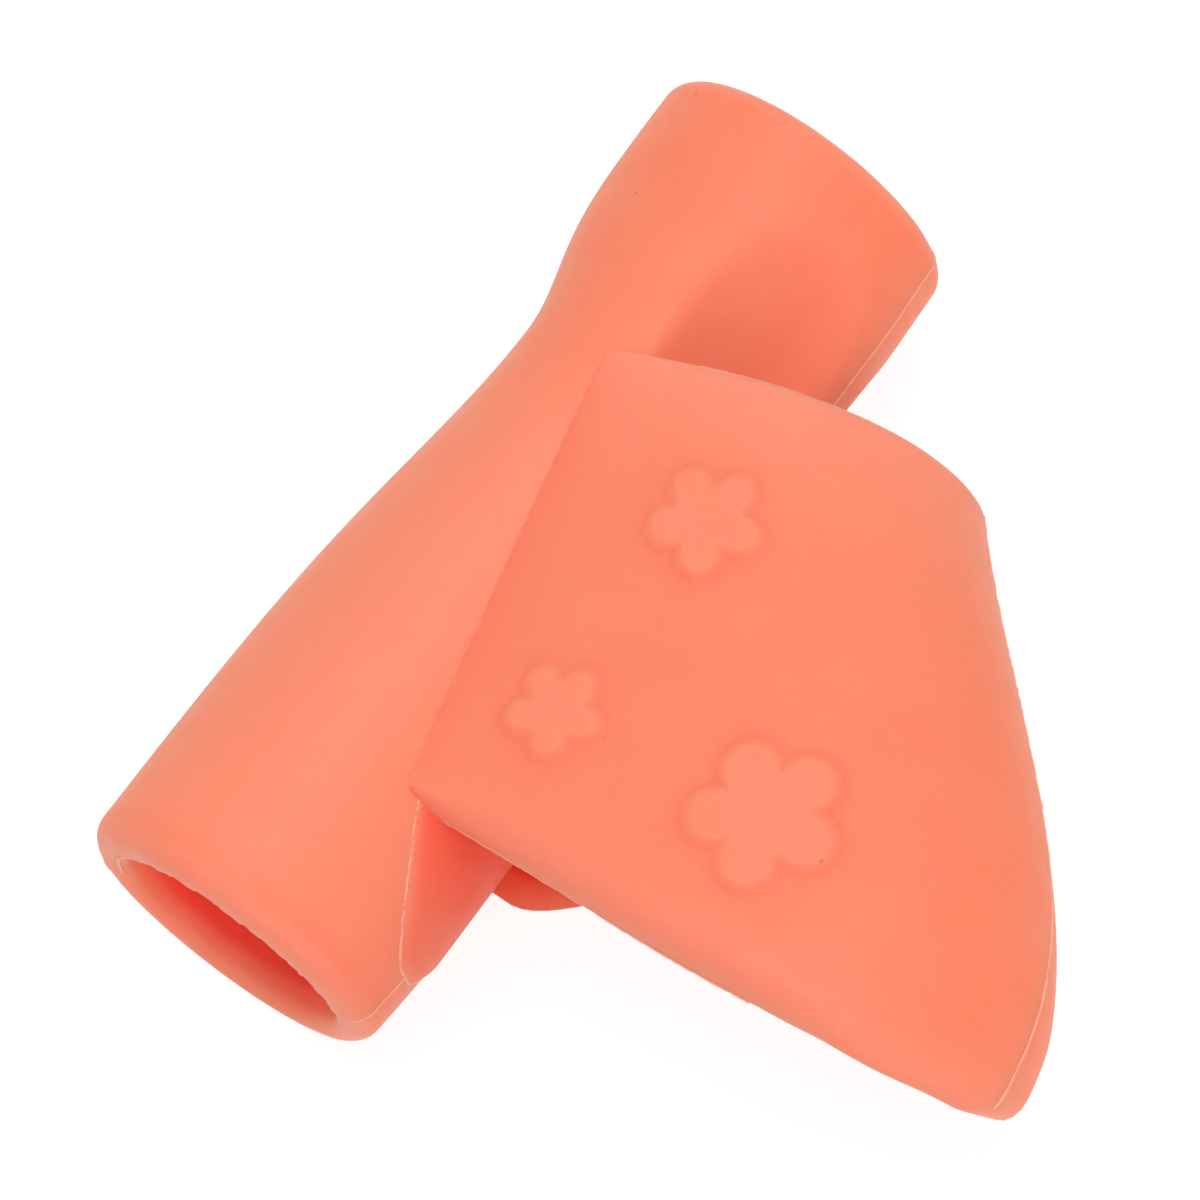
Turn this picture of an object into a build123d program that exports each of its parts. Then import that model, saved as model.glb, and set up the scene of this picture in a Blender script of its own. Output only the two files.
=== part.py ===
from build123d import *
import os
from math import cos, radians, sin, sqrt

# A child's pencil grip, moulded in soft silicone. A barrel is pushed onto the pencil, and a flat cone of two
# walls on its side makes a pocket for thumb and index finger, open at both ends. The frame has +Y along the
# bore from the rear end to the fingertip end, +X towards the pocket and +Z out of the flowered wall.
# The mould parts in the plane Z = 0, and both halves of the grip mirror there. Sizes are in mm.

# Barrel, with places along it counted from its rear end
barrel_length = 41.0
rear_radius = 7.1
front_radius = 6.8
top_radius = 6.7
pocket_side_radius = 7.2
free_side_radius = 6.25
waist_radius = 5.35
waist_from_front = 13.9
waist_half_length = 7.5
shoulder_length = 5.0
rim_round = 1.2

# Bore for the pencil, with a flare at each mouth
bore_radius = 4.0
rear_mouth_radius = 5.8
front_mouth_radius = 4.7
rear_flare_length = 3.0
front_flare_length = 2.0

# Fingertip dishes, one on each side of the parting plane
dish_angle = 38.0
dish_place = 26.0
dish_depth = 1.4
dish_half_length = 10.5
dish_cross_radius = 11.0

# Finger pocket: places along it are counted from the rear end too
wall = 1.6
pocket_rear = 8.5
rear_edge_bow = 1.2
rear_edge_rise = 1.9
pocket_front = 32.5
root_front_x = 0.2
root_front_place = 27.9
root_rear_x = 4.5
root_step = 0.35
crown_from_fold = 11.0
crown_rear_height = 7.6
crown_front_height = 7.0
fold_rear_corner = 4.5
front_corner = 1.2
lip_round = 0.5

# Scoop in the rear edge of the back wall, which clears the web of the hand
ear_setback = 1.1
ear_reach = 7.8
scoop_depth = 4.6
scoop_flank = 3.8
scoop_round = 2.0
fold_setback = 3.4

# The fold in plan, from the rear corner to the front one: share of the pocket's length, reach from the bore axis
fold_shares = (0.0, 0.21, 0.475, 0.745, 1.0)
fold_reaches = (32.8, 31.2, 27.4, 21.3, 14.7)

# Living hinge between barrel and pocket: a web beside the barrel flexes, and the walls outside it swing
hinge_web = 0.9
hinge_gap = 0.15

# Raised flowers on the front wall: centre reach, centre place, petal ring, petal radius and turn
flower_height = 0.35
flower_large_size = (18.3, 14.7, 2.05, 1.25, -2.0)
flower_medium_size = (8.6, 23.9, 1.6, 0.9, 5.0)
flower_small_size = (8.1, 14.0, 1.35, 0.75, 4.0)

PETALS = 5
HEART_SHARE = 1.06
OVERCUT = 4.0
REACH = 60.0


def along(place):
    """Y of a place counted from the barrel's rear end."""
    return place - barrel_length / 2


def cross_plane(place):
    """Plane across the bore, with its x along X and its y along Z."""
    return Plane(origin=(0, along(place), 0), x_dir=(1, 0, 0), z_dir=(0, -1, 0))


def barrel_section(place, free_side, pocket_side, top):
    """One cross-section of the barrel: two half ellipses that share their height."""
    with BuildSketch(cross_plane(place)) as section:
        with BuildLine():
            EllipticalCenterArc((0, 0), pocket_side, top, start_angle=-90, arc_size=180)
            EllipticalCenterArc((0, 0), free_side, top, start_angle=90, arc_size=180)
        make_face()
    return section.sketch


def barrel_body():
    """The barrel before its bore, dishes and rims."""
    waist_place = barrel_length - waist_from_front
    sections = [
        barrel_section(0, rear_radius, rear_radius, rear_radius),
        barrel_section(shoulder_length, rear_radius, pocket_side_radius, rear_radius),
        barrel_section(waist_place - waist_half_length, free_side_radius, pocket_side_radius, top_radius),
        barrel_section(waist_place, waist_radius, pocket_side_radius, top_radius),
        barrel_section(barrel_length - shoulder_length, front_radius, pocket_side_radius, top_radius),
        barrel_section(barrel_length, front_radius, front_radius, front_radius),
    ]
    body = loft(sections)
    ends = body.faces().filter_by(Axis.Y, tolerance=1e-3)
    return fillet(ends.edges(), rim_round)


def dish_cutter(angle):
    """A ring whose outer side presses a shallow dish into the barrel, at an angle from +Z towards +X."""
    along_radius = (dish_half_length**2 + dish_depth**2) / (2 * dish_depth)
    centre = top_radius - dish_depth + along_radius
    tilt = radians(angle)
    place = Plane(
        origin=(centre * sin(tilt), along(dish_place), centre * cos(tilt)),
        x_dir=(0, 1, 0),
        z_dir=(cos(tilt), 0, -sin(tilt)),
    )
    return place * Torus(along_radius - dish_cross_radius, dish_cross_radius)


def bore_cutter():
    """Straight bore with a cone at each mouth, turned about the barrel's axis."""
    rear_end = along(0)
    front_end = along(barrel_length)
    rear_slope = (rear_mouth_radius - bore_radius) / rear_flare_length
    front_slope = (front_mouth_radius - bore_radius) / front_flare_length
    with BuildSketch(Plane.XY) as half:
        with BuildLine():
            Polyline(
                (0, rear_end - OVERCUT),
                (rear_mouth_radius + rear_slope * OVERCUT, rear_end - OVERCUT),
                (bore_radius, rear_end + rear_flare_length),
                (bore_radius, front_end - front_flare_length),
                (front_mouth_radius + front_slope * OVERCUT, front_end + OVERCUT),
                (0, front_end + OVERCUT),
                close=True,
            )
        make_face()
    return revolve(half.sketch, Axis.Y)


def root_reach(place):
    """X of the line where the pocket's walls leave the barrel."""
    slope = (root_front_x - root_rear_x) / (root_front_place - pocket_rear)
    return root_rear_x + slope * (place - pocket_rear)


def crown_height(place):
    """Height of the pocket's crown above the parting plane."""
    share = (place - pocket_rear) / (pocket_front - pocket_rear)
    return crown_rear_height + share * (crown_front_height - crown_rear_height)


def pocket_section(place, reach, inset, overrun):
    """Upper half of one pocket cross-section, drawn inwards by inset and run past its root and the parting plane."""
    root_x = root_reach(place)
    root_z = top_radius * sqrt(1 - (root_x / pocket_side_radius) ** 2) + root_step - inset
    fold_x = reach - inset
    crown_x = max(reach - crown_from_fold, root_x + wall)
    crown_z = crown_height(place) - inset
    shoulder = radians(45)
    shoulder_x = crown_x + (fold_x - crown_x) * sin(shoulder)
    shoulder_z = crown_z * cos(shoulder)
    outline = ((root_x, root_z), (crown_x, crown_z), (shoulder_x, shoulder_z), (fold_x, 0))
    rest = [(root_x - overrun, -overrun), (root_x - overrun, root_z)]
    if overrun:
        rest = [(fold_x, 0), (fold_x, -overrun)] + rest + [(root_x, root_z)]
    else:
        rest = [(fold_x, 0)] + rest
    with BuildSketch(cross_plane(place)) as section:
        with BuildLine():
            Spline(*outline, tangents=((1, 0.1), (0, -1)))
            Polyline(*rest)
        make_face()
    return section.sketch


def pocket_loft(inset, overrun=0.0):
    """Upper half of the pocket as a solid cone, drawn inwards by inset and run past both of its open ends."""
    places = [pocket_rear + share * (pocket_front - pocket_rear) for share in fold_shares]
    rear_run = (fold_reaches[1] - fold_reaches[0]) / (places[1] - places[0])
    front_run = (fold_reaches[-1] - fold_reaches[-2]) / (places[-1] - places[-2])
    stations = [(places[0] - OVERCUT, fold_reaches[0] - rear_run * OVERCUT)]
    stations += list(zip(places, fold_reaches))
    stations += [(places[-1] + OVERCUT, fold_reaches[-1] + front_run * OVERCUT)]
    return loft([pocket_section(place, reach, inset, overrun) for place, reach in stations])


def pocket_plan():
    """The pocket's outline seen from above, as a prism through both walls."""
    front_slope = (pocket_front - root_front_place) / (fold_reaches[-1] - root_front_x)
    far_x = fold_reaches[0] + wall / 4
    far_y = along(pocket_front) + front_slope * (far_x - fold_reaches[-1])
    rear_root = (root_rear_x, along(pocket_rear))
    rear_fold = (far_x, along(pocket_rear + rear_edge_rise))
    rear_middle = (
        (root_rear_x + far_x) / 2,
        along(pocket_rear + rear_edge_rise / 2 - rear_edge_bow),
    )
    front_root = (root_front_x, along(root_front_place))
    with BuildSketch(Plane.XY.offset(-REACH / 2)) as plan:
        with BuildLine():
            ThreePointArc(rear_root, rear_middle, rear_fold)
            Polyline(rear_fold, (far_x, far_y), front_root, rear_root)
        make_face()
        fillet(plan.vertices().sort_by_distance((*rear_fold, 0))[0], fold_rear_corner)
        fillet(plan.vertices().sort_by_distance((*front_root, 0))[0], front_corner)
    return extrude(plan.sketch, REACH)


def pocket_shell(outer):
    """The upper half of the pocket's wall, hollow, cut to its outline and rounded at the lips of its open ends."""
    shell = (outer - pocket_loft(wall, OVERCUT)) & pocket_plan()
    curves = shell.edges().filter_by(GeomType.LINE, reverse=True)
    lips = curves.filter_by(lambda e: (e @ 0.5).X > root_rear_x and (e @ 0.5).Z > wall / 2)
    return fillet(lips, lip_round)


def scoop_cutter():
    """Prism that takes the scoop out of the back wall and leaves a short ear beside the barrel."""
    rear_y = along(pocket_rear)
    near_x = -OVERCUT
    far_x = fold_reaches[0] + OVERCUT
    with BuildSketch(Plane.XY.offset(-REACH)) as plan:
        with BuildLine():
            Polyline(
                (near_x, rear_y - OVERCUT),
                (near_x, rear_y + ear_setback),
                (ear_reach, rear_y + ear_setback),
                (ear_reach + scoop_flank, rear_y + scoop_depth),
                (far_x, rear_y + fold_setback),
                (far_x, rear_y - OVERCUT),
                close=True,
            )
        make_face()
        flank = plan.vertices().filter_by(lambda v: near_x < v.X < far_x)
        fillet(flank, scoop_round)
    return extrude(plan.sketch, REACH)


def round_bar(radius):
    """A bar along the bore axis, longer than the grip."""
    return Rot(90, 0, 0) * Cylinder(radius, barrel_length + REACH)


def flower(size, skin):
    """Five round petals and a heart, raised out of the front wall's face."""
    reach, place, ring, petal, turn = size
    with BuildSketch(Plane.XY) as petals:
        with Locations((reach, along(place))):
            Circle(ring * HEART_SHARE)
            with PolarLocations(ring, PETALS, start_angle=turn):
                Circle(petal)
    return extrude(petals.sketch, REACH) & skin


def only_solid(shape):
    """The largest solid of a cut."""
    return shape.solids().sort_by(SortBy.VOLUME)[-1]


def build():
    """Every piece by name."""
    body = barrel_body() - dish_cutter(dish_angle) - dish_cutter(180 - dish_angle)
    hinge_radius = top_radius + hinge_web
    outer = pocket_loft(0)
    shell = pocket_shell(outer)
    hinge = only_solid((shell & round_bar(hinge_radius)) - body)
    front = only_solid(shell - round_bar(hinge_radius + hinge_gap))
    back = mirror(front, Plane.XY)
    skin = pocket_loft(-flower_height) - outer
    return {
        "barrel": only_solid(body - bore_cutter()),
        "front_living_hinge": hinge,
        "back_living_hinge": only_solid(mirror(hinge, Plane.XY) - scoop_cutter()),
        "front_wall": front,
        "back_wall": only_solid(back - scoop_cutter()),
        "flower_large": only_solid(flower(flower_large_size, skin)),
        "flower_medium": only_solid(flower(flower_medium_size, skin)),
        "flower_small": only_solid(flower(flower_small_size, skin)),
    }


os.makedirs("parts", exist_ok=True)
for name, solid in build().items():
    solid.label = name
    export_step(solid, f"parts/{name}.step")
    print(name, "volume", round(solid.volume, 1), "mm3")
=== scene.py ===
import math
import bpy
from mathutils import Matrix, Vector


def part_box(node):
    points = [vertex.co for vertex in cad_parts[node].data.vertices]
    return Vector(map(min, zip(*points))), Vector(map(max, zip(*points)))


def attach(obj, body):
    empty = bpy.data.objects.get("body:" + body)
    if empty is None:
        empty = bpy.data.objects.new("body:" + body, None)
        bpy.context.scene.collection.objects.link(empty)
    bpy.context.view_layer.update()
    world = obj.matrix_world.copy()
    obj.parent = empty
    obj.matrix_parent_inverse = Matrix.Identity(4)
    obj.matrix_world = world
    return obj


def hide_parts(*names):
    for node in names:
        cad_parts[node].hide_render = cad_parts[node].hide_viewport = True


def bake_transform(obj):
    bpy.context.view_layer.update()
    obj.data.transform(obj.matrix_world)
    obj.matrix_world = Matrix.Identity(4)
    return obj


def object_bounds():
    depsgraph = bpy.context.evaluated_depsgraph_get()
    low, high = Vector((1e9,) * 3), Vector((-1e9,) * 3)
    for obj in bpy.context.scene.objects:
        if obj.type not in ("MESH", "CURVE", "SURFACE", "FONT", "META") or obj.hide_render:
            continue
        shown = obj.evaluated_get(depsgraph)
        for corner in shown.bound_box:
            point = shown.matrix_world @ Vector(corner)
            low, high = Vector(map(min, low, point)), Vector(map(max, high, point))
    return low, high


bl_info = {
    "name": "Pencil grip",
    "version": (1, 0, 0),
    "blender": (4, 5, 0),
    "location": "View3D > Sidebar > Pencil grip",
    "description": "Dresses the packed pencil grip as soft silicone, with flowers and parting lines",
    "category": "Object",
}

import bmesh
import bpy
import numpy as np
from bpy.props import FloatProperty, FloatVectorProperty, IntProperty, PointerProperty
from mathutils import Matrix, Vector

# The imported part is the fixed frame: metres, +Y along the bore, +X towards the pocket and
# +Z out of the flowered wall
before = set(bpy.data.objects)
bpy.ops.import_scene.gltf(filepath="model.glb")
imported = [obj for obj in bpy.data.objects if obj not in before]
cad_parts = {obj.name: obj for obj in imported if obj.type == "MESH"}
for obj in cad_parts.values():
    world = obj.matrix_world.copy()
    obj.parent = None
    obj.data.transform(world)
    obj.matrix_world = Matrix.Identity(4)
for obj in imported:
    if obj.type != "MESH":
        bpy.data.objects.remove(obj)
CAD_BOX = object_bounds()
BARREL_LOW, BARREL_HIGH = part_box("barrel")
LENGTH = BARREL_HIGH.y - BARREL_LOW.y
MM = 0.001
FULL_TURN = 2 * math.pi
QUARTER_TURN = math.pi / 2


# Sizes and colours that a user would change


def length(name, description, millimetres):
    """A length property, given in millimetres."""
    return FloatProperty(
        name=name, description=description, default=millimetres * MM, precision=5, unit="LENGTH"
    )


def angle(name, description, degrees):
    """An angle property, given in degrees."""
    return FloatProperty(
        name=name, description=description, default=math.radians(degrees), subtype="ANGLE"
    )


def colour(name, description, value):
    """A colour property, in linear light."""
    return FloatVectorProperty(
        name=name, description=description, default=value, size=3, min=0.0, max=1.0, subtype="COLOR"
    )


class BarrelSettings(bpy.types.PropertyGroup):
    """Sizes of the tube that is pushed onto the pencil."""

    rear_radius: length("Rear radius", "Outer radius at the rear end", 7.2)
    front_radius: length("Front radius", "Outer radius at the fingertip end", 7.0)
    top_radius: length("Top radius", "Outer radius under the flowered wall", 6.7)
    side_radius: length("Pocket side radius", "Outer radius towards the pocket", 7.2)
    rear_nip: length("Rear nip", "How far the pocket side draws in at the rear end", 0.25)
    waist_place: length("Waist place", "Distance of the waist from the rear end", 28.0)
    waist_depth: length("Waist depth", "How far the free side draws in at the waist", 1.68)
    waist_rear: length("Waist rear run", "Length of the waist's slope towards the rear end", 9.8)
    waist_front: length("Waist front run", "Length of the waist's slope towards the front end", 4.5)
    rear_rim: length("Rear rim", "Rounding of the rear rim", 1.1)
    front_rim: length("Front rim", "Rounding of the front rim", 0.8)
    bore_radius: length("Bore radius", "Radius of the straight bore", 4.0)
    rear_mouth: length("Rear mouth radius", "Radius of the bore's rear mouth", 5.3)
    rear_lip: length("Rear lip", "How far the mouth's edge lies inside the rear rim", 0.6)
    rear_flare: length("Rear flare", "Length of the cone behind the rear mouth", 3.0)
    front_mouth: length("Front mouth radius", "Radius of the bore's front mouth", 4.7)
    front_flare: length("Front flare", "Length of the cone behind the front mouth", 2.0)
    dish_turn: angle("Dish turn", "Where a fingertip dish sits, from the top towards the pocket", 44.0)
    dish_place: length("Dish place", "Distance of a dish's middle from the rear end", 31.5)
    dish_half: length("Dish half length", "Half the length of a fingertip dish", 5.45)
    dish_depth: length("Dish depth", "Depth of a fingertip dish", 1.4)
    dish_cross: length("Dish cross radius", "Radius of a dish's floor across the barrel", 11.0)
    dish_crisp: length("Crisp dish edge", "Rounding of a dish's edge away from the pocket", 0.45)
    dish_soft: length("Soft dish edge", "Rounding of a dish's edge beside the parting line", 0.9)
    pad_height: length("Pad height", "How far the skin inside the pocket stands proud", 0.18)
    pad_place: length("Pad place", "Where that skin starts on the parting line", 2.9)
    pad_run: length("Pad run", "How far its edge runs forward up to the wall", 5.4)


class PocketSettings(bpy.types.PropertyGroup):
    """Sizes of the two walls and the fold between them."""

    wall: length("Wall", "Thickness of the pocket's walls", 1.6)
    rear: length("Rear end", "Place of the pocket's rear end", 8.5)
    front: length("Front end", "Place of the pocket's front end", 32.5)
    rear_lip: length("Rear lip", "Run of the rounding at the rear edge", 1.3)
    front_lip: length("Front lip", "Rounding of the front edge", 0.35)
    edge_low: length("Rear edge", "Place of the rear edge where it reaches furthest back", 8.06)
    edge_middle: length("Rear edge middle", "Distance of that point from the bore axis", 15.5)
    edge_bow: length("Rear bow", "How much further forward the rear edge is 17 mm beyond it", 1.8)
    corner: length("Fold corner", "How far the rear edge draws forward at the fold", 1.4)
    corner_run: length("Corner run", "Length of that corner", 6.0)
    root_front: length("Front root place", "Place of the front edge at its root", 28.35)
    front_rise: length("Front rise", "How much further forward the front edge is at the fold", 4.49)
    front_corner: length("Front corner", "How far the front edge draws back at the fold", 0.24)
    root_front_x: length("Front root", "Distance of the front root from the bore axis", 0.2)
    root_rear_x: length("Rear root", "Distance of the rear root from the bore axis", 4.4)
    root_sink: length("Root sink", "How far a wall reaches on under the barrel's skin", 0.8)
    crown: length("Crown distance", "Distance of the crown from the fold", 11.0)
    crown_rear: length("Rear crown height", "Height of the crown at the rear edge", 7.6)
    crown_front: length("Front crown height", "Height of the crown at the front edge", 7.0)
    fold_front: length("Front fold reach", "Reach of the fold at the front edge", 15.1)
    ear: length("Ear place", "Place of the back wall's ear beside the barrel", 8.8)
    ear_reach: length("Ear reach", "Distance from the bore axis where the ear ends", 6.6)
    scoop: length("Scoop depth", "How far the back wall is scooped out beside the ear", 4.2)
    scoop_run: length("Scoop run", "Length of the slope from the ear into the scoop", 5.6)
    bend_start: length("Bend start", "Distance from the bore axis where the walls start to bend", 7.4)
    bend_end: length("Bend end", "Distance from the bore axis where the walls swing freely", 13.0)


class FlowerSettings(bpy.types.PropertyGroup):
    """Sizes of the raised flowers, as shares of a petal's ring where they go with it."""

    height: length("Height", "How far a flower stands out of the wall", 0.27)
    edge: length("Edge", "Width of a flower's soft edge", 0.62)
    heart: FloatProperty(
        name="Heart share", description="Radius of the heart as a share of the petal ring", default=1.0
    )
    petals: IntProperty(name="Petals", description="Number of petals", default=5, min=3, max=9)


class FlashSettings(bpy.types.PropertyGroup):
    """Sizes of the thin lines that the mould leaves."""

    bead: length("Bead", "Radius of a parting line", 0.092)
    edge: length("Edge bead", "Radius of the flash along the wall's sharp edges", 0.06)
    mouth: length("Mouth bead", "Radius of the ragged edge of the rear mouth", 0.1)
    wander: length("Wander", "How far a line strays from its path", 0.05)
    step: length("Step", "Length of one stretch of a line", 0.22)
    taper: length("Taper", "Length over which a line thins out at its ends", 1.2)
    seed: IntProperty(name="Seed", description="Seed of the raggedness", default=7)


class SiliconeSettings(bpy.types.PropertyGroup):
    """Colour and finish of the silicone."""

    body: colour("Body", "Colour of the silicone", (0.985, 0.245, 0.128))
    pale: colour("Pale", "Colour of its paler clouds", (0.985, 0.258, 0.142))
    flash: colour("Flash", "Colour of the thin parting lines", (1.0, 0.39, 0.26))
    # Painted highlight: this paler colour goes on the flowers' raised tops, the barrel's rear and middle
    # and the walls' front, where light falls most
    petal: colour("Petal", "Colour of the flowers' tops and the barrel's rear", (0.985, 0.285, 0.165))
    # Painted shade: a deeper red laid where shade falls, in recesses, creases, the bore, under the walls
    # and round the flowers
    painted_shade: colour("Deep", "Colour of the silicone in its recesses", (0.98, 0.045, 0.016))
    # Painted sheen and shade: a greyer, darker tint on rounded lips and rims and at the rear mouth, where
    # light grazes and falls off
    sheen_and_shade: colour("Bloom", "Colour of the dusty bloom on lips and rims", (0.86, 0.33, 0.235))
    speck: colour("Speck", "Colour of the specks in it", (0.30, 0.07, 0.04))
    roughness: FloatProperty(
        name="Roughness", description="Roughness of the skin", default=0.52, subtype="FACTOR"
    )
    depth: length("Light depth", "How far red light spreads under the skin", 2.2)


class StageSettings(bpy.types.PropertyGroup):
    """Floor, light and camera."""

    floor: colour("Floor", "Colour of the floor", (0.96, 0.96, 0.96))
    floor_size: length("Floor size", "Side of the floor", 1600.0)
    azimuth: angle("Azimuth", "Direction of the camera, from the rear end towards the pocket", 57.6)
    elevation: angle("Elevation", "Height of the camera over the parting plane", 63.4)
    roll: angle("Roll", "Turn of the camera about its own axis", -23.2)
    distance: length("Distance", "Distance of the camera", 300.0)
    field: length("Field", "Width of the picture at that distance", 48.34)
    aim: FloatVectorProperty(
        name="Aim",
        description="Point in the middle of the picture",
        default=(6.83 * MM, -1.67 * MM, 6.89 * MM),
        size=3,
        subtype="TRANSLATION",
    )


# Small shapes and rules that the pieces share


def ease(value, start=0.0, run=1.0):
    """A smooth rise from 0 at a start to 1 at the end of its run."""
    share = np.clip((value - start) / run, 0.0, 1.0)
    return share * share * (3.0 - 2.0 * share)


def bell(distance, width):
    """A smooth hump of height 1."""
    return np.exp(-((distance / width) ** 2))


def softer_of(first, second, rounding):
    """The smaller of two heights, with the edge between them rounded."""
    share = np.clip(0.5 + 0.5 * (second - first) / rounding, 0.0, 1.0)
    return second + (first - second) * share - rounding * share * (1.0 - share)


def grid_faces(rows, columns, close_rows, close_columns):
    """Corner numbers of a grid's quads, row after row."""
    row = np.arange(rows if close_rows else rows - 1)
    column = np.arange(columns if close_columns else columns - 1)
    row, column = np.meshgrid(row, column, indexing="ij")
    next_row = (row + 1) % rows
    next_column = (column + 1) % columns
    corners = (
        row * columns + column,
        row * columns + next_column,
        next_row * columns + next_column,
        next_row * columns + column,
    )
    return np.stack(corners, axis=-1).reshape(-1, 4)


def closed_piece(name, points, faces, sheen_and_shade, painted_shade, pale):
    """A closed piece with its faces outward, and how much painted sheen and shade, painted shade and
    painted highlight each point gets.
    """
    mesh = bpy.data.meshes.new(name)
    mesh.from_pydata(points.reshape(-1, 3).tolist(), [], faces)
    for title, values in (("sheen_and_shade", sheen_and_shade), ("painted_shade", painted_shade), ("pale", pale)):
        layer = mesh.attributes.new(title, "FLOAT", "POINT")
        layer.data.foreach_set("value", values.reshape(-1).astype(np.float32))
    work = bmesh.new()
    work.from_mesh(mesh)
    bmesh.ops.triangulate(work, faces=[face for face in work.faces if len(face.verts) > 4])
    bmesh.ops.recalc_face_normals(work, faces=work.faces)
    work.to_mesh(mesh)
    work.free()
    piece = bpy.data.objects.new(name, mesh)
    bpy.context.scene.collection.objects.link(piece)
    return piece


def applied(piece, name):
    """A plain mesh piece of what an object's modifiers make; the object goes."""
    bpy.context.view_layer.update()
    graph = bpy.context.evaluated_depsgraph_get()
    mesh = bpy.data.meshes.new_from_object(piece.evaluated_get(graph), depsgraph=graph)
    if not mesh.polygons:
        raise RuntimeError(f"{name} came out empty")
    mesh.name = name
    piece.modifiers.clear()
    bpy.data.objects.remove(piece)
    made = bpy.data.objects.new(name, mesh)
    bpy.context.scene.collection.objects.link(made)
    return made


def moulded(body, other, name):
    """Two closed pieces as one moulding."""
    join = body.modifiers.new("moulding", "BOOLEAN")
    join.operation = "UNION"
    join.solver = "MANIFOLD"
    join.object = other
    made = applied(body, name)
    bpy.data.objects.remove(other)
    return made


def along(place):
    """Y of a place counted from the barrel's rear end."""
    return BARREL_LOW.y + place


# Nodes


class NodeBench:
    """Adds nodes to a tree. A value is a number, name or colour, or the output of another node."""

    def __init__(self, tree):
        self.tree = tree

    def feed(self, socket, value):
        """Links an input to another node's output, or sets the input's own value."""
        if isinstance(value, bpy.types.NodeSocket):
            self.tree.links.new(value, socket)
        else:
            socket.default_value = value

    def add(self, kind, inputs=None, **options):
        """A node with its options, and its inputs by name or number."""
        node = self.tree.nodes.new(kind)
        for name, value in options.items():
            setattr(node, name, value)
        for key, value in (inputs or {}).items():
            self.feed(node.inputs[key], value)
        return node

    def maths(self, operation, *values):
        """One step of arithmetic."""
        return self.add("ShaderNodeMath", dict(enumerate(values)), operation=operation).outputs[0]

    def split(self, vector):
        """X, Y and Z of a vector."""
        return self.add("ShaderNodeSeparateXYZ", {0: vector}).outputs

    def scaled(self, vector, scale):
        """A vector times a number."""
        node = self.add("ShaderNodeVectorMath", {0: vector, "Scale": scale}, operation="SCALE")
        return node.outputs[0]

    def ranged(self, value, start, end, to=(0.0, 1.0), smooth=False):
        """Where a value lies between start and end, spread over another range."""
        inputs = {"Value": value, "From Min": start, "From Max": end, "To Min": to[0], "To Max": to[1]}
        kind = "SMOOTHSTEP" if smooth else "LINEAR"
        return self.add("ShaderNodeMapRange", inputs, interpolation_type=kind).outputs["Result"]

    def mixed(self, share, first, second):
        """One colour that goes over into another."""
        node = self.add("ShaderNodeMix", {"Factor": share}, data_type="RGBA")
        sockets = [socket for socket in node.inputs if socket.type == "RGBA"]
        for socket, value in zip(sockets, (first, second)):
            self.feed(socket, value)
        return next(socket for socket in node.outputs if socket.type == "RGBA")


def new_tree(title, inputs, output):
    """A Geometry Nodes tree with named inputs: its bench and what it is given."""
    tree = bpy.data.node_groups.new(title, "GeometryNodeTree")
    for name, kind in inputs.items():
        tree.interface.new_socket(name, in_out="INPUT", socket_type=f"NodeSocket{kind}")
    tree.interface.new_socket(output, in_out="OUTPUT", socket_type="NodeSocketGeometry")
    return NodeBench(tree), tree.nodes.new("NodeGroupInput").outputs


def finished_tree(bench, geometry, material):
    """The end of every tree: instances made real and the material set."""
    realize = bench.add("GeometryNodeRealizeInstances", {"Geometry": geometry})
    paint = bench.add("GeometryNodeSetMaterial", {"Geometry": realize.outputs[0], "Material": material})
    bench.add("NodeGroupOutput", {0: paint.outputs[0]})
    return bench.tree


def made_by(tree, source, name, *runs):
    """Runs a tree on an object, once for each set of values; the result is a plain mesh piece."""
    for values in runs:
        modifier = source.modifiers.new(tree.name, "NODES")
        modifier.node_group = tree
        for item in tree.interface.items_tree:
            if item.in_out == "INPUT" and item.name in values:
                modifier[item.identifier] = values[item.name]
    return applied(source, name)


# Barrel: places are counted from its rear end, turns from +Z towards +X

# Runs over which the radii go over into each other. Here and below a pair is a start and its run
END_RUN = 5 * MM
NIP_RUN = 4 * MM
TOP_REAR = (4 * MM, 14 * MM)
TOP_FRONT_RUN = 6 * MM

# A dish: its rim over the top radius, how flat its floor is, how far round it can reach, its end past
# the skin as a share of its half length, and the turn from its middle where its edge goes soft
DISH_LIFT = 0.15 * MM
DISH_FLATNESS = 2.8
DISH_WIDTH = math.radians(52)
DISH_END = 1.35
DISH_SOFT = (-0.2, 0.5)

# The proud skin inside the pocket: its half width, the curve of its rear edge and where it fades
PAD_SIDE = (math.radians(44), math.radians(4))
PAD_TIP = math.radians(5)
PAD_SPREAD = math.radians(40)
PAD_CURVE = 1.6
PAD_STEP = 0.5 * MM
PAD_FADE = (18 * MM, 8 * MM)

# Shares of painted shade, of painted sheen and shade and of painted highlight, and where they rise and fall
DISH_SHADE = 0.03
DISH_SHADE_GAIN = 0.13
DISH_SHADE_RISE = (0.6, 0.25)
PAD_SHADE = 0.3
PAD_SHADE_GAIN = 0.35
PAD_SHADE_RISE = (4 * MM, 5 * MM)
BORE_SHADE = 0.7
MOUTH_SHADE_RISE = (0.5 * MM, 1.0 * MM)
MOUTH_SHEEN_AND_SHADE = 0.5
REAR_HIGHLIGHT = 0.85
REAR_HIGHLIGHT_RISE = (0.5 * MM, 2 * MM)
REAR_HIGHLIGHT_FALL = (22 * MM, 8 * MM)

# How finely the barrel is divided
TURNS = 240
RIM_STEPS = 9
SKIN_STEPS = 150
FRONT_FLARE_STEPS = 8
BORE_STEPS = 20
REAR_FLARE_STEPS = 14


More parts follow.
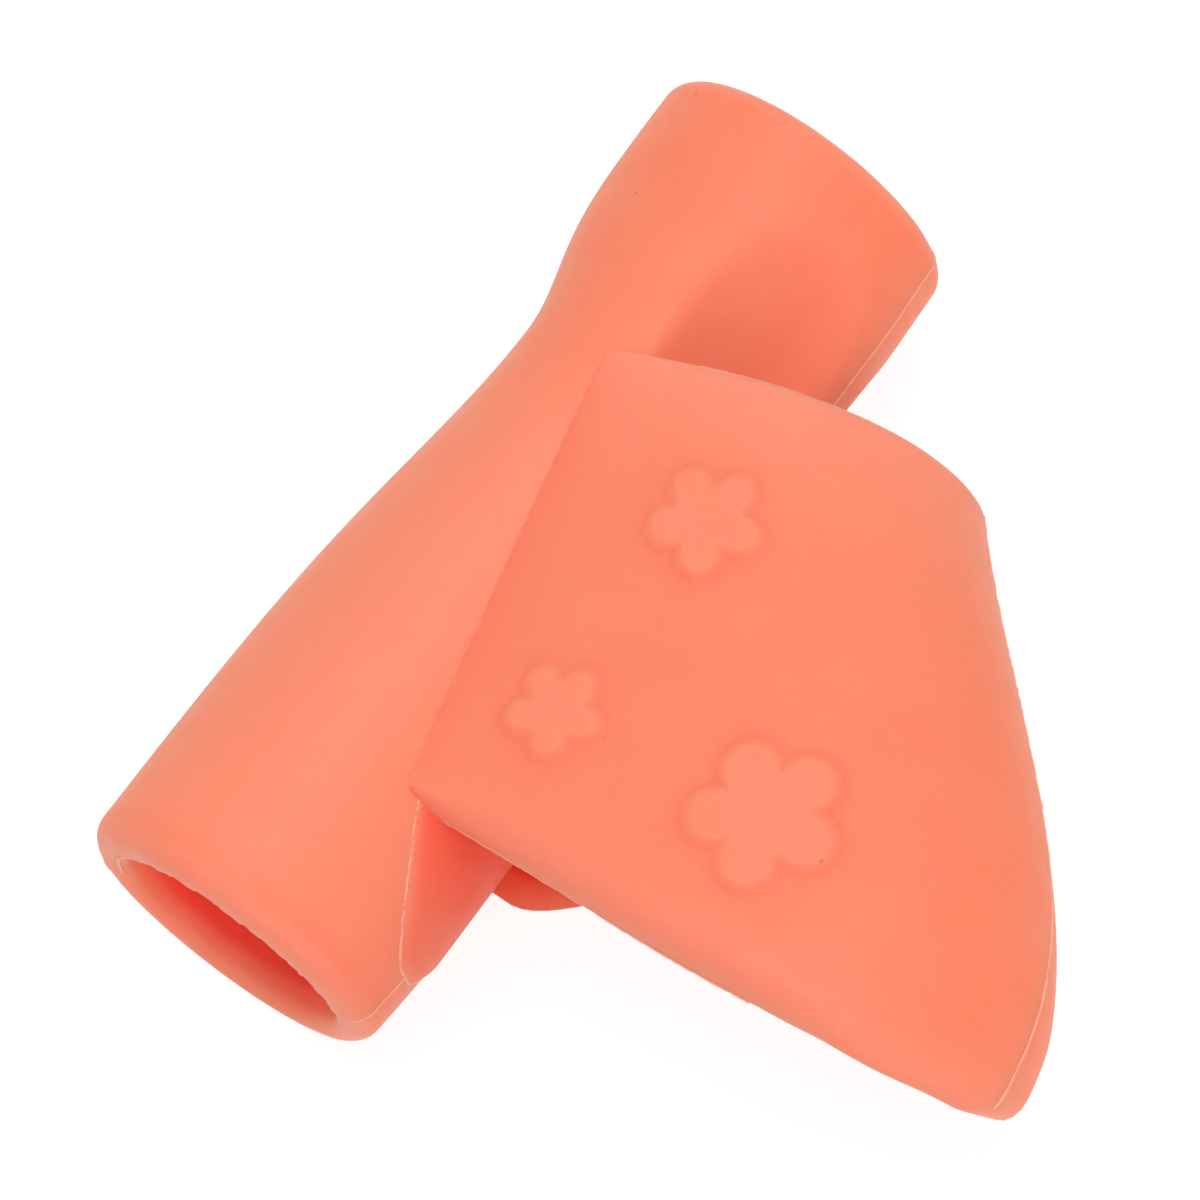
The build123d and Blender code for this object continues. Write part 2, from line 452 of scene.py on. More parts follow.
def round_skin(barrel, place, turn):
    """Outer radius before rims and dishes."""
    end = barrel.rear_radius + (barrel.front_radius - barrel.rear_radius) * place / LENGTH
    run = np.where(place < barrel.waist_place, barrel.waist_rear, barrel.waist_front)
    free = end - barrel.waist_depth * bell(place - barrel.waist_place, run)
    inner = ease(place, run=END_RUN) * ease(LENGTH - place, run=END_RUN)
    nip = barrel.rear_nip * (1.0 - ease(place, run=NIP_RUN))
    side = end + (barrel.side_radius - end) * inner - nip
    rise = ease(place, *TOP_REAR) * ease(LENGTH - place, run=TOP_FRONT_RUN)
    top = end + (barrel.top_radius - end) * rise
    across = np.where(np.sin(turn) > 0, side, free)
    return 1.0 / np.sqrt((np.sin(turn) / across) ** 2 + (np.cos(turn) / top) ** 2)


def barrel_skin(barrel, place, turn):
    """Outer radius before the rims, with the dishes pressed in and the proud skin laid on."""
    radius = round_skin(barrel, place, turn)
    for middle in (barrel.dish_turn, math.pi - barrel.dish_turn):
        radius = dished(barrel, radius, place, turn, middle)
    return radius + barrel.pad_height * pad_share(barrel, place, turn)


def dished(barrel, radius, place, turn, middle):
    """The skin with one fingertip dish pressed into it."""
    share = np.minimum(np.abs(place - barrel.dish_place) / barrel.dish_half, DISH_END)
    floor = barrel.top_radius + DISH_LIFT - barrel.dish_depth * (1.0 - share**DISH_FLATNESS)
    centre = floor + barrel.dish_cross
    offset = turn - middle
    reach = barrel.dish_cross**2 - (centre * np.sin(offset)) ** 2
    pressed = centre * np.cos(offset) - np.sqrt(np.maximum(reach, 0.0))
    near = (np.abs(offset) < DISH_WIDTH) & (share < DISH_END) & (reach > 0)
    towards_parting = offset * (1.0 if middle < QUARTER_TURN else -1.0)
    soft = ease(towards_parting, *DISH_SOFT)
    rounding = barrel.dish_crisp + (barrel.dish_soft - barrel.dish_crisp) * soft
    return np.where(near, softer_of(radius, pressed, rounding), radius)


def pad_edge(barrel, turn):
    """Place where the proud skin inside the pocket starts."""
    off = np.abs(turn - QUARTER_TURN)
    share = np.clip((off - PAD_TIP) / PAD_SPREAD, 0.0, 1.0)
    return barrel.pad_place + barrel.pad_run * share**PAD_CURVE


def pad_share(barrel, place, turn):
    """1 on the proud skin inside the pocket, 0 off it."""
    off = np.abs(turn - QUARTER_TURN)
    inside = 1.0 - ease(off, *PAD_SIDE)
    rear = ease(place, pad_edge(barrel, turn), PAD_STEP)
    front = 1.0 - ease(place, *PAD_FADE)
    return inside * rear * front


def barrel_point(radius, place, turn):
    """Point at a radius, place and turn."""
    return np.stack(
        (radius * np.sin(turn), along(place) + 0.0 * turn, radius * np.cos(turn)), axis=-1
    )


def skin_shade(barrel, place, turn):
    """Painted shade on the skin, as a redder colour: the dishes a little, the proud skin between the walls
    more.
    """
    place = place + 0.0 * turn
    pressed = round_skin(barrel, place, turn) - barrel_skin(barrel, place, turn)
    dish = np.clip(pressed / barrel.dish_depth, 0.0, 1.0)
    inward = PAD_SHADE + PAD_SHADE_GAIN * ease(place, *PAD_SHADE_RISE)
    sideways = DISH_SHADE + DISH_SHADE_GAIN * ease(np.abs(np.sin(turn)), *DISH_SHADE_RISE)
    return sideways * dish + inward * pad_share(barrel, place, turn)


def barrel_piece(barrel):
    """The barrel as one closed skin: rims, outside, flares and bore."""
    turns = np.linspace(0.0, FULL_TURN, TURNS, endpoint=False)
    swings = np.linspace(0.0, QUARTER_TURN, RIM_STEPS)
    rings, sheen_and_shades, painted_shades = [], [], []

    def ring(place, radius, sheen_and_shade, painted_shade=0.0):
        rings.append(barrel_point(radius + 0.0 * turns, place, turns))
        sheen_and_shades.append(sheen_and_shade + 0.0 * turns)
        painted_shades.append(painted_shade + 0.0 * turns)

    # Each ring carries painted sheen and shade on the rims and at the rear mouth's edge, and painted shade
    # in the dishes, on the proud skin, in both flares and along the bore
    rear = barrel_skin(barrel, barrel.rear_rim + 0.0 * turns, turns)
    inside = rear - barrel.rear_rim - barrel.rear_mouth
    for swing in swings[:-1]:
        place = barrel.rear_lip * (1.0 - math.sin(swing))
        ring(place, barrel.rear_mouth + inside * (1.0 - math.cos(swing)), MOUTH_SHEEN_AND_SHADE)
    for swing in swings:
        place = barrel.rear_rim * (1.0 - math.cos(swing))
        ring(place, rear - barrel.rear_rim * (1.0 - math.sin(swing)), math.cos(swing) ** 0.5)
    for place in np.linspace(barrel.rear_rim, LENGTH - barrel.front_rim, SKIN_STEPS)[1:-1]:
        skin = barrel_skin(barrel, place + 0.0 * turns, turns)
        ring(place, skin, 0.0, skin_shade(barrel, place, turns))
    front = barrel_skin(barrel, LENGTH - barrel.front_rim + 0.0 * turns, turns)
    for swing in swings[::-1]:
        place = LENGTH - barrel.front_rim * (1.0 - math.cos(swing))
        ring(place, front - barrel.front_rim * (1.0 - math.sin(swing)), math.cos(swing) ** 0.5)
    for share in np.linspace(0.0, 1.0, FRONT_FLARE_STEPS):
        place = LENGTH - barrel.front_flare * share
        ring(place, barrel.front_mouth + (barrel.bore_radius - barrel.front_mouth) * share, 0.0, share)
    for place in np.linspace(LENGTH - barrel.front_flare, barrel.rear_flare, BORE_STEPS)[1:-1]:
        ring(place, barrel.bore_radius, 0.0, BORE_SHADE)
    for share in np.linspace(1.0, 0.0, REAR_FLARE_STEPS)[:-1]:
        place = barrel.rear_lip + (barrel.rear_flare - barrel.rear_lip) * share
        flare = (barrel.rear_mouth - barrel.bore_radius) * (1.0 - ease(share))
        ring(place, barrel.bore_radius + flare, 0.0, float(ease(place, *MOUTH_SHADE_RISE)))
    points = np.array(rings)
    faces = grid_faces(len(rings), len(turns), True, True).tolist()
    places = points[..., 1] - BARREL_LOW.y
    # Painted highlight over the barrel's rear and middle
    pale = REAR_HIGHLIGHT * ease(places, *REAR_HIGHLIGHT_RISE) * (1.0 - ease(places, *REAR_HIGHLIGHT_FALL))
    return closed_piece("plain_barrel", points, faces, np.array(sheen_and_shades), np.array(painted_shades), pale)


# Pocket: a line runs along a wall, and its rule gives its x at a place

# The fold's reach in mm beyond the front edge, by powers of the way back, and its pull at the corner
FOLD_CURVE = (19.5, 28.1, -47.7, 17.6)
FOLD_PULL = 0.5
FOLD_PULL_RISE = (0.7, 0.2)

# A wall's root: its swell beside the barrel and its dive under the skin. The skin's height there is found
# in rounds, as far out as this share of its radius
ROOT_SWELL = 0.1
ROOT_DIVE = 0.6
SKIN_ROUNDS = 5
SKIN_LIMIT = 0.98

# Edges: the rear one's bow and corner, the front one's corner, and rounds to find a line's ends
BOW_RUN = 17 * MM
CORNER_HEIGHT = 0.42
CORNER_CURVE = 1.15
CORNER_EARLY = 0.42
CORNER_LATE = 0.58
BACK_CURVE = 0.9
FRONT_CORNER_RUN = 4 * MM
EDGE_ROUNDS = 40

# The rear lip: sharp away from the fold, shorter beside the barrel, drawn back in between
SHARP_RISE = (0.5 * MM, 9.0 * MM)
BESIDE_RUN = 4 * MM
LIP_LEAST = 0.45
LIP_GAIN = 0.55
LIP_DRAW = 1.2 * MM

# Painted sheen and shade on the walls' lips, painted shade in the root crease, on the back lip and inside,
# and painted highlight towards the front: the distances over which they fade, and the heights where they
# begin
SHEEN_AND_SHADE_RUN = 1.3 * MM
CREASE_SHADE = 0.2
CREASE_RUN = 0.9 * MM
BACK_LIP_SHADE = 0.35
BACK_LIP_RUN = 1.5 * MM
INSIDE_SHADE = 0.5
INSIDE_RUN = 1.2 * MM
FRONT_HIGHLIGHT = 0.7
FRONT_HIGHLIGHT_RISE = (23 * MM, 7 * MM)
SHEEN_AND_SHADE_HEIGHT = -0.9
INNER_HEIGHT = -0.99

# How finely the pocket is divided, and the step that finds a line's direction
ROOT_LINES = 4
FRONT_LINES = (56, 40)
BACK_LINES = (36, 30)
REAR_LIP_STEPS = 9
FRONT_LIP_STEPS = 5
OUTSIDE_STEPS = 64
INSIDE_STEPS = 40
PROBE = 0.01 * MM


def backward(pocket, place):
    """0 at the pocket's front end, 1 at its rear end."""
    return (pocket.front - place) / (pocket.front - pocket.rear)


def fold_reach(pocket, place):
    """Reach of the fold from the bore axis: a soft curve from the front edge to the rear corner."""
    back = backward(pocket, place)
    rise = sum(share * back**power for power, share in enumerate(FOLD_CURVE, 1))
    pull = FOLD_PULL * ease(back, *FOLD_PULL_RISE)
    return pocket.fold_front + (rise - pull) * MM


def root_x(pocket, place):
    """X of the line where a wall leaves the barrel."""
    slope = (pocket.root_front_x - pocket.root_rear_x) / (pocket.root_front - pocket.rear)
    return pocket.root_rear_x + slope * (place - pocket.rear)


def crown_x(pocket, place):
    """X of a wall's highest line."""
    return np.maximum(fold_reach(pocket, place) - pocket.crown, root_x(pocket, place) + pocket.wall)


def skin_height(barrel, x, place):
    """Height of the barrel's skin over the parting plane."""
    radius = barrel.top_radius
    for _ in range(SKIN_ROUNDS):
        turn = np.arcsin(np.clip(x / radius, -SKIN_LIMIT, SKIN_LIMIT))
        radius = barrel_skin(barrel, place, turn)
    return radius * np.cos(turn)


def wall_height(pocket, barrel, x, place):
    """Height of a wall's outer face: from the skin at its root over the crown to the fold."""
    start = root_x(pocket, place)
    crown = crown_x(pocket, place)
    fold = fold_reach(pocket, place)
    top = pocket.crown_front + backward(pocket, place) * (pocket.crown_rear - pocket.crown_front)
    low = skin_height(barrel, start, place)
    span = crown - start
    t = np.clip((x - start) / span, 0.0, 1.0)
    rise = low + (top - low) * t * t * (3.0 - 2.0 * t) + ROOT_SWELL * span * t * (1.0 - t) ** 2
    sunk = skin_height(barrel, np.minimum(x, start), place) - ROOT_DIVE * (start - x)
    beyond = np.clip((x - crown) / (fold - crown), 0.0, 1.0)
    rounded = top * np.sqrt(np.maximum(1.0 - beyond**2, 0.0))
    return np.where(x < start, sunk, np.where(x < crown, rise, rounded))


def wall_point(pocket, barrel, rule, side, place):
    """Points of a wall's outer face on one of the lines that run along it."""
    x = rule(place)
    return np.stack((x, along(place), side * wall_height(pocket, barrel, x, place)), axis=-1)


def rear_edge(pocket, x, fold, side):
    """Place of the rear edge at an x, on the flowered side (1) or the back (-1).

    It draws forward round the fold, by the height that is left there.
    """
    beyond = np.clip((x - fold) / pocket.crown + 1.0, 0.0, 1.0)
    height = np.sqrt(1.0 - beyond**2)
    if side >= 0:
        corner = np.clip((x - fold + pocket.corner_run) / pocket.corner_run, 0.0, 1.0)
        near = np.maximum(1.0 - height / CORNER_HEIGHT, 0.0) ** CORNER_CURVE
        return bowed_edge(pocket, x) + pocket.corner * (CORNER_EARLY * corner**2 + CORNER_LATE * near)
    scooped = pocket.ear + pocket.scoop * ease(x, pocket.ear_reach, pocket.scoop_run)
    meet = bowed_edge(pocket, fold) + pocket.corner
    return scooped + (meet - scooped) * (1.0 - height) ** BACK_CURVE


def bowed_edge(pocket, x):
    """Place of the rear edge without its corner: straight beside the barrel, bowed towards the fold."""
    beyond = (x - pocket.edge_middle) / BOW_RUN
    return pocket.edge_low + pocket.edge_bow * np.maximum(beyond, 0.0) ** 2


def front_edge(pocket, x, fold):
    """Place of the front edge at an x."""
    slope = pocket.front_rise / (pocket.fold_front - pocket.root_front_x)
    corner = np.clip((x - fold + FRONT_CORNER_RUN) / FRONT_CORNER_RUN, 0.0, 1.0)
    return pocket.root_front + slope * (x - pocket.root_front_x) - pocket.front_corner * corner**2


def half_lines(pocket, flat, round_part):
    """Rules of the lines from under the barrel's skin over the crown to the fold."""

    def under(share):
        return lambda place: root_x(pocket, place) - share * pocket.root_sink

    def between(first, second, share):
        def rule(place):
            start = first(pocket, place)
            return start + (second(pocket, place) - start) * share

        return rule

    lines = [under(share) for share in np.linspace(1.0, 0.0, ROOT_LINES)[:-1]]
    lines += [between(root_x, crown_x, share) for share in np.linspace(0.0, 1.0, flat)[:-1]]
    swings = np.linspace(0.0, QUARTER_TURN, round_part)
    return lines + [between(crown_x, fold_reach, math.sin(swing)) for swing in swings]


def pocket_lines(pocket):
    """Lines from the front root over the fold to the back root, each with its side."""
    front = half_lines(pocket, *FRONT_LINES)
    back = half_lines(pocket, *BACK_LINES)
    sides = [1.0] * (len(front) - 1) + [0.0] + [-1.0] * (len(back) - 1)
    return list(zip(front + back[-2::-1], sides))


def edge_places(pocket, rule, side):
    """Places where a line meets the rear and the front edge."""
    rear = pocket.rear
    front = pocket.front
    for _ in range(EDGE_ROUNDS):
        rear = 0.5 * rear + 0.5 * float(rear_edge(pocket, rule(rear), fold_reach(pocket, rear), side))
        front = 0.5 * front + 0.5 * float(front_edge(pocket, rule(front), fold_reach(pocket, front)))
    return rear, front


def wall_loop(pocket, rear, front, sharp, lip_run):
    """Places and heights (1 outside, -1 inside) once round a wall: rear lip, outside, front lip, inside.

    A sharp rear lip rounds off outside only, down to an edge on the inner face; otherwise it is full round.
    """
    swing = np.linspace(0.0, QUARTER_TURN, REAR_LIP_STEPS)
    turn = np.linspace(0.0, QUARTER_TURN, FRONT_LIP_STEPS)
    blunt = lip_run * (1.0 - np.sin(2.0 * swing))
    keen = lip_run * (1.0 - np.cos(swing))
    start = rear + (1.0 - sharp) * blunt + sharp * keen
    rise = sharp * (2.0 * np.sin(swing) - 1.0) - (1.0 - sharp) * np.cos(2.0 * swing)
    corner = pocket.front_lip / (pocket.wall / 2)
    lip = front - pocket.front_lip * (1.0 - np.sin(turn))
    drop = 1.0 - corner * (1.0 - np.cos(turn))
    outside = np.linspace(start[-1], front - pocket.front_lip, OUTSIDE_STEPS)[1:-1]
    inside = np.linspace(front - pocket.front_lip, start[0], INSIDE_STEPS)[1:-1]
    places = (start, outside, lip, lip[::-1], inside)
    heights = (rise, 1.0 + 0.0 * outside, drop, -drop[::-1], 0.0 * inside - 1.0)
    return np.concatenate(places), np.concatenate(heights)


def wall_paint(side, reach, places, height, edge, aside):
    """How much painted sheen and shade, painted shade and painted highlight the points of one loop get.

    Reach is the line's distance from the fold; edge and aside are a point's distances from the nearest
    edge and from the root.
    """
    fading = 1.0 if side >= 0 else math.exp(-reach / MM)
    # Painted sheen and shade near the edges, painted shade along the root crease, on the back wall's lips
    # and on the inner faces, and painted highlight towards the front
    sheen_and_shade = np.exp(-edge / SHEEN_AND_SHADE_RUN) * (height > SHEEN_AND_SHADE_HEIGHT) * fading
    crease = CREASE_SHADE * np.exp(-aside / CREASE_RUN)
    lip = BACK_LIP_SHADE * np.exp(-edge / BACK_LIP_RUN) * (side < 0)
    painted_shade = np.where(height < INNER_HEIGHT, INSIDE_SHADE * ease(edge, run=INSIDE_RUN), crease) + lip
    pale = FRONT_HIGHLIGHT * ease(places, *FRONT_HIGHLIGHT_RISE)
    return sheen_and_shade, painted_shade, pale


def pocket_shell(pocket, barrel):
    """Points of the sleeve, one closed loop for each line, and their painted sheen and shade, painted shade
    and painted highlight.
    """
    outer, forward, heights, paint = [], [], [], []
    for rule, side in pocket_lines(pocket):
        rear, front = edge_places(pocket, rule, side)
        reach = fold_reach(pocket, rear) - rule(rear)
        sharp = 0.0
        beside = 1.0
        if side > 0:
            sharp = float(ease(reach, *SHARP_RISE))
            beside = float(ease(rule(rear), root_x(pocket, rear), BESIDE_RUN))
        rear -= LIP_DRAW * sharp * (1.0 - sharp)
        lip_run = pocket.rear_lip * (LIP_LEAST + LIP_GAIN * beside)
        places, height = wall_loop(pocket, rear, front, sharp, lip_run)
        before, here, ahead = (
            wall_point(pocket, barrel, rule, side, places + step) for step in (-PROBE, 0.0, PROBE)
        )
        outer.append(here)
        forward.append(ahead - before)
        heights.append(height)
        edge = np.minimum(places - rear, front - places)
        aside = np.abs(rule(places) - root_x(pocket, places))
        paint.append(wall_paint(side, reach, places, height, edge, aside))
    outer = np.array(outer)
    normal = np.cross(np.gradient(outer, axis=0), np.array(forward))
    normal /= np.linalg.norm(normal, axis=-1, keepdims=True)
    depth = pocket.wall / 2 * (1.0 - np.array(heights))
    sheen_and_shade, painted_shade, pale = (np.array(layer) for layer in zip(*paint))
    return outer - normal * depth[..., None], sheen_and_shade, painted_shade, pale


def pocket_piece(pocket, barrel):
    """Both walls and the fold as one closed sleeve, with its roots under the barrel's skin."""
    points, *paint = pocket_shell(pocket, barrel)
    lines, rows = points.shape[:2]
    faces = grid_faces(lines, rows, False, True).tolist()
    faces += [list(range(rows)), list(range((lines - 1) * rows, lines * rows))]
    return closed_piece("plain_pocket", points, faces, *paint)


# Flowers: CAD node, radius of the petals' ring, radius of a petal, and turn in degrees

FLOWERS = (
    ("flower_large", 2.05 * MM, 1.25 * MM, -2.0),
    ("flower_medium", 1.6 * MM, 0.9 * MM, 5.0),
    ("flower_small", 1.35 * MM, 0.75 * MM, 4.0),
)
CAD_PETALS = 5

# They rise in faces that look up by this much and lie at least this high
FACING_UP = 0.3
GROUND_HEIGHT = 3 * MM
GROUND_CUTS = 2

# The painted shade ring round a flower fades from near to far, and its petals get painted highlight by this
# share
SHADE_RING_NEAR = 0.2 * MM
SHADE_RING_FAR = 0.9 * MM
PETAL_HIGHLIGHT = 0.7


def flower_centre(node, ring, petal, turn):
    """Middle of a CAD flower, from its box and the reach of its petals."""
    low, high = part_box(node)
    turns = [math.radians(turn) + FULL_TURN * number / CAD_PETALS for number in range(CAD_PETALS)]
    reach = [ring * math.cos(way) for way in turns]
    rise = [ring * math.sin(way) for way in turns]
    x = (low.x - (min(reach) - petal) + high.x - (max(reach) + petal)) / 2
    y = (low.y - (min(rise) - petal) + high.y - (max(rise) + petal)) / 2
    return Vector((x, y, high.z))


def flower_values(flower, node, ring, petal, turn, material):
    """Inputs of the flower tree for one CAD flower."""
    return {
        "Centre": tuple(flower_centre(node, ring, petal, turn)),
        "Turn": math.radians(turn),
        "Petals": float(flower.petals),
        "Petal Ring": ring,
        "Petal Radius": petal,
        "Heart Radius": ring * flower.heart,
        "Height": flower.height,
        "Edge": flower.edge,
        "Silicone": material,
    }


def finer_ground(piece, flowers):
    """Splits the wall's faces finely where the flowers rise."""
    work = bmesh.new()
    work.from_mesh(piece.data)
    edges = []
    for edge in work.edges:
        middle = (edge.verts[0].co + edge.verts[1].co) / 2
        if middle.z < GROUND_HEIGHT or min(vert.normal.z for vert in edge.verts) < FACING_UP:
            continue
        for values in flowers:
            reach = values["Petal Ring"] + values["Petal Radius"] + values["Edge"]
            if (middle - Vector(values["Centre"])).xy.length < reach:
                edges.append(edge)
                break
    bmesh.ops.subdivide_edges(work, edges=edges, cuts=GROUND_CUTS, use_grid_fill=True)
    work.to_mesh(piece.data)
    work.free()


def flower_tree():
    """Geometry Nodes that raise a round-petalled flower in the outer face of the wall."""
    inputs = {
        "Wall": "Geometry",
        "Centre": "Vector",
        "Turn": "Float",
        "Petals": "Float",
        "Petal Ring": "Float",
        "Petal Radius": "Float",
        "Heart Radius": "Float",
        "Height": "Float",
        "Edge": "Float",
        "Silicone": "Material",
    }
    bench, given = new_tree("Flower relief", inputs, "Wall")
    maths = bench.maths

    def distance(a, b):
        return maths("SQRT", maths("ADD", maths("MULTIPLY", a, a), maths("MULTIPLY", b, b)))

    # How far a point lies outside the outline, found in the slice of the nearest petal
    position = bench.add("GeometryNodeInputPosition").outputs[0]
    offset = bench.add("ShaderNodeVectorMath", {0: position, 1: given["Centre"]}, operation="SUBTRACT")
    parts = bench.split(offset.outputs[0])
    radius = distance(parts["X"], parts["Y"])
    turn = maths("SUBTRACT", maths("ARCTAN2", parts["Y"], parts["X"]), given["Turn"])
    slice_angle = maths("DIVIDE", FULL_TURN, given["Petals"])
    local = maths("MULTIPLY", maths("WRAP", maths("DIVIDE", turn, slice_angle), 0.5, -0.5), slice_angle)
    ahead = maths("SUBTRACT", maths("MULTIPLY", radius, maths("COSINE", local)), given["Petal Ring"])
    aside = maths("MULTIPLY", radius, maths("SINE", local))
    petal = maths("SUBTRACT", distance(ahead, aside), given["Petal Radius"])
    heart = maths("SUBTRACT", radius, given["Heart Radius"])
    outer_edge = maths("MULTIPLY", given["Edge"], 0.5)
    inner_edge = maths("MULTIPLY", given["Edge"], -0.5)
    outside = maths("SMOOTH_MIN", petal, heart, outer_edge)

    normal = bench.add("GeometryNodeInputNormal").outputs[0]
    facing = maths("GREATER_THAN", bench.split(normal)["Z"], FACING_UP)
    above = maths("GREATER_THAN", bench.split(position)["Z"], 0.0)
    lift = bench.ranged(outside, outer_edge, inner_edge, (0.0, given["Height"]), smooth=True)
    moved = {
        "Geometry": given["Wall"],
        "Selection": maths("MULTIPLY", above, facing),
        "Offset": bench.scaled(normal, lift),
    }
    painted = bench.add("GeometryNodeSetPosition", moved).outputs[0]

    # Painted shade in a ring round the flower and painted highlight on its raised top, stored on the points
    # for the material
    shade_ring = bench.ranged(outside, SHADE_RING_FAR, SHADE_RING_NEAR, smooth=True)
    petal_share = maths("MULTIPLY", maths("DIVIDE", lift, given["Height"]), facing)
    shade_ring_share = maths("MULTIPLY", maths("SUBTRACT", shade_ring, petal_share), facing)
    for title, share in (("pale", maths("MULTIPLY", petal_share, PETAL_HIGHLIGHT)), ("shade_ring", shade_ring_share)):
        known = bench.add("GeometryNodeInputNamedAttribute", {"Name": title}, data_type="FLOAT")
        most = maths("MAXIMUM", share, known.outputs["Attribute"])
        stored = {"Geometry": painted, "Name": title, "Value": most}
        store = bench.add("GeometryNodeStoreNamedAttribute", stored, data_type="FLOAT", domain="POINT")
        painted = store.outputs[0]
    return finished_tree(bench, painted, given["Silicone"])


# Parting lines

# A bead's middle lies under the skin by this much; its girth varies and is least at its tips
SUNK = 0.05 * MM
GIRTH_LEAST = 0.75
GIRTH_MOST = 1.15
GIRTH_TIP = 0.2
BEAD_SIDES = 8

# How much of the wander the straight lines and the sharp edges have
LINE_WANDER = 0.5
EDGE_WANDER = 0.4

# On the barrel: the pad's edge runs this far round, the front line this far back and above the plane
PAD_LINE_TURN = 45.0
FRONT_LINE_END = 0.55
FRONT_LINE_TURN = math.radians(3.5)
REAR_LINE_STEPS = 8
PAD_LINE_STEPS = 40
FRONT_LINE_STEPS = 50
FREE_LINE_STEPS = 120

# Round the rear mouth: its half turn, and its place beside the mouth's edge
MOUTH_LINE_TURN = 88.0
MOUTH_LINE_OUT = 0.35 * MM
MOUTH_LINE_PLACE = 0.14 * MM
MOUTH_LINE_STEPS = 120

# Along the fold: how far it strays to the flowered side, where on the way back, and its overhang
FOLD_STRAY = 13.0
FOLD_STRAY_RISE = (0.38, 0.4)
FOLD_OVERHANG = 0.4 * MM
FOLD_LINE_STEPS = 160

# On the flowered wall's edges: the first line that has flash, and how far from the bore axis it runs
REAR_FLASH_FIRST = 4
REAR_FLASH_END = 22 * MM
FRONT_FLASH_FIRST = 8
FRONT_FLASH_START = 4 * MM
FRONT_FLASH_END = 11 * MM


def flash_tree():
    """Geometry Nodes that lay a thin ragged bead along a curve."""
    inputs = {
        "Path": "Geometry",
        "Bead": "Float",
        "Wander": "Float",
        "Step": "Float",
        "Taper": "Float",
        "Seed": "Int",
        "Silicone": "Material",
    }
    bench, given = new_tree("Flash bead", inputs, "Line")
    stretches = {"Curve": given["Path"], "Length": given["Step"]}
    evened = bench.add("GeometryNodeResampleCurve", stretches, mode="LENGTH")

    any_way = {"Min": (-1.0, -1.0, -1.0), "Max": (1.0, 1.0, 1.0), "Seed": given["Seed"]}
    stray = bench.add("FunctionNodeRandomValue", any_way, data_type="FLOAT_VECTOR")
    moved = {"Geometry": evened.outputs[0], "Offset": bench.scaled(stray.outputs[0], given["Wander"])}
    placed = bench.add("GeometryNodeSetPosition", moved)

    girths = {2: GIRTH_LEAST, 3: GIRTH_MOST, "Seed": given["Seed"]}
    girth = bench.add("FunctionNodeRandomValue", girths, data_type="FLOAT")
    gone = bench.add("GeometryNodeSplineParameter").outputs["Length"]
    whole = bench.add("GeometryNodeSplineLength").outputs["Length"]
    nearer = bench.maths("MINIMUM", gone, bench.maths("SUBTRACT", whole, gone))
    taper = bench.ranged(nearer, 0.0, given["Taper"], (GIRTH_TIP, 1.0))
    thinned = {"Curve": placed.outputs[0], "Radius": bench.maths("MULTIPLY", girth.outputs[1], taper)}
    swollen = bench.add("GeometryNodeSetCurveRadius", thinned)

    circle = {"Resolution": BEAD_SIDES, "Radius": given["Bead"]}
    profile = bench.add("GeometryNodeCurvePrimitiveCircle", circle).outputs["Curve"]
    swept = {"Curve": swollen.outputs[0], "Profile Curve": profile, "Fill Caps": True}
    skin = bench.add("GeometryNodeCurveToMesh", swept)
    smooth = bench.add("GeometryNodeSetShadeSmooth", {"Geometry": skin.outputs[0]})
    return finished_tree(bench, smooth.outputs[0], given["Silicone"])


def path_curve(lines):
    """One curve object that holds several lines of points."""
    curve = bpy.data.curves.new("flash_path", "CURVE")
    curve.dimensions = "3D"
    for points in lines:
        spline = curve.splines.new("POLY")
        spline.points.add(len(points) - 1)
        for point, co in zip(spline.points, points):
            point.co = (*co, 1.0)
    path = bpy.data.objects.new("flash_path", curve)
    bpy.context.scene.collection.objects.link(path)
    return path


def rim_line(barrel, turn, rear):
    """Points over a rim at one turn, from the mouth outwards, with the bead half sunk in it."""
    rim = barrel.rear_rim if rear else barrel.front_rim
    edge = rim if rear else LENGTH - rim
    skin = float(barrel_skin(barrel, np.array(edge), np.array(turn)))
    points = []
    for swing in np.linspace(0.0, QUARTER_TURN, RIM_STEPS):
        place = rim - (rim - SUNK) * math.cos(swing)
        radius = skin - rim + (rim - SUNK) * math.sin(swing)
        points.append(barrel_point(np.array(radius), place if rear else LENGTH - place, np.array(turn)))
    return points


def skin_line(barrel, places, turns):
    """Points on the barrel's skin."""
    places = np.asarray(places, float)
    turns = np.asarray(turns, float) + 0.0 * places
    return list(barrel_point(barrel_skin(barrel, places, turns) - SUNK, places, turns))


def barrel_lines(barrel):
    """The parting lines on the barrel: over both rims, along both sides and round the proud skin."""
    side = QUARTER_TURN
    front_end = LENGTH - barrel.front_rim
    rear_places = np.linspace(barrel.rear_rim, barrel.pad_place, REAR_LINE_STEPS)
    lines = [rim_line(barrel, side, True) + skin_line(barrel, rear_places[1:], side)]
    for sign in (1.0, -1.0):
        turns = side - sign * np.radians(np.linspace(0.0, PAD_LINE_TURN, PAD_LINE_STEPS))
        lines.append(skin_line(barrel, pad_edge(barrel, turns), turns))
    front_places = np.linspace(front_end, FRONT_LINE_END * LENGTH, FRONT_LINE_STEPS)
    higher = side - FRONT_LINE_TURN
    lines.append(rim_line(barrel, higher, False) + skin_line(barrel, front_places[1:], higher))
    free_places = np.linspace(barrel.rear_rim, front_end, FREE_LINE_STEPS)
    free = rim_line(barrel, -side, True) + skin_line(barrel, free_places[1:-1], -side)
    lines.append(free + rim_line(barrel, -side, False)[::-1])
    return lines


